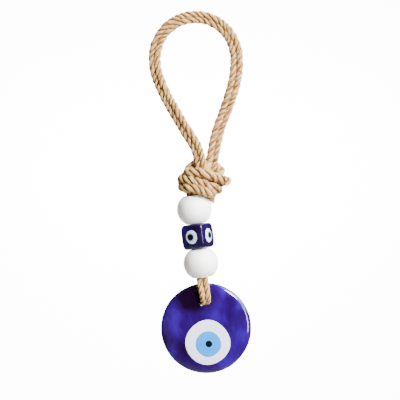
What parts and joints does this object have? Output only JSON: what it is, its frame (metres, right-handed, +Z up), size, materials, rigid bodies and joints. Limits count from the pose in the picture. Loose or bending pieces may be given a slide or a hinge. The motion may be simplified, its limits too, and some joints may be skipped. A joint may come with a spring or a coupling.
{
  "type": "evil eye ornament",
  "caption": "Hanging ornament: knotted rope loop, white beads round a glass cube bead with eyes, and a round blue glass eye disc.",
  "frame": {"origin": "the hanging point, on the inside of the loop's top", "axes": "+X right, +Y to the back of the disc, +Z up; the disc's eye faces -Y"},
  "size_m": [0.0509, 0.0195, 0.1806],
  "materials": {
    "jute_rope": "twisted natural jute",
    "white_wood": "matt white paint on a turned wooden bead",
    "navy_glass": "polished dark blue glass",
    "cobalt_glass": "polished cobalt glass, slightly wavy",
    "white_glass": "polished opaque white glass",
    "pale_glass": "polished opaque pale blue glass",
    "sky_glass": "polished opaque sky blue glass",
    "black_glass": "polished black glass"
  },
  "bodies": {
    "rope": {"hanging_loop": "jute_rope", "knot": "jute_rope", "side_rope_end": "jute_rope", "rear_rope_end": "jute_rope", "bead_cord": "jute_rope"},
    "upper_bead": {"upper_bead": "white_wood"},
    "cube_bead": {"cube_bead": "navy_glass", "front_eye_white": "white_glass", "front_eye_blue": "pale_glass", "front_eye_pupil": "black_glass", "right_eye_white": "white_glass", "right_eye_blue": "pale_glass", "right_eye_pupil": "black_glass", "back_eye_white": "white_glass", "back_eye_blue": "pale_glass", "back_eye_pupil": "black_glass", "left_eye_white": "white_glass", "left_eye_blue": "pale_glass", "left_eye_pupil": "black_glass"},
    "lower_bead": {"lower_bead": "white_wood"},
    "pendant": {"pendant_cord": "jute_rope"},
    "disc": {"glass_disc": "cobalt_glass", "disc_eye_white": "white_glass", "disc_eye_blue": "sky_glass", "disc_eye_pupil": "black_glass"}
  },
  "joints": [
    {"name": "upper_bead_spin", "type": "hinge", "parent": "rope", "child": "upper_bead", "pos_m": [-0.00059, 0, -0.0935], "axis": [-0.1219, 0, 0.9925], "continuous": true},
    {"name": "cube_bead_spin", "type": "hinge", "parent": "rope", "child": "cube_bead", "pos_m": [0.00105, 0, -0.1069], "axis": [-0.1219, 0, 0.9925], "continuous": true},
    {"name": "lower_bead_spin", "type": "hinge", "parent": "rope", "child": "lower_bead", "pos_m": [0.0027, 0, -0.1203], "axis": [-0.1219, 0, 0.9925], "continuous": true},
    {"name": "pendant_swing", "type": "hinge", "parent": "rope", "child": "pendant", "pos_m": [0.00357, 0, -0.12735], "axis": [0.9925, 0, 0.1219], "range_deg": [-12, 12]},
    {"name": "disc_rock", "type": "hinge", "parent": "pendant", "child": "disc", "pos_m": [0.00497, 0, -0.1388], "axis": [0, 1, 0], "range_deg": [-30, 30]}
  ]
}
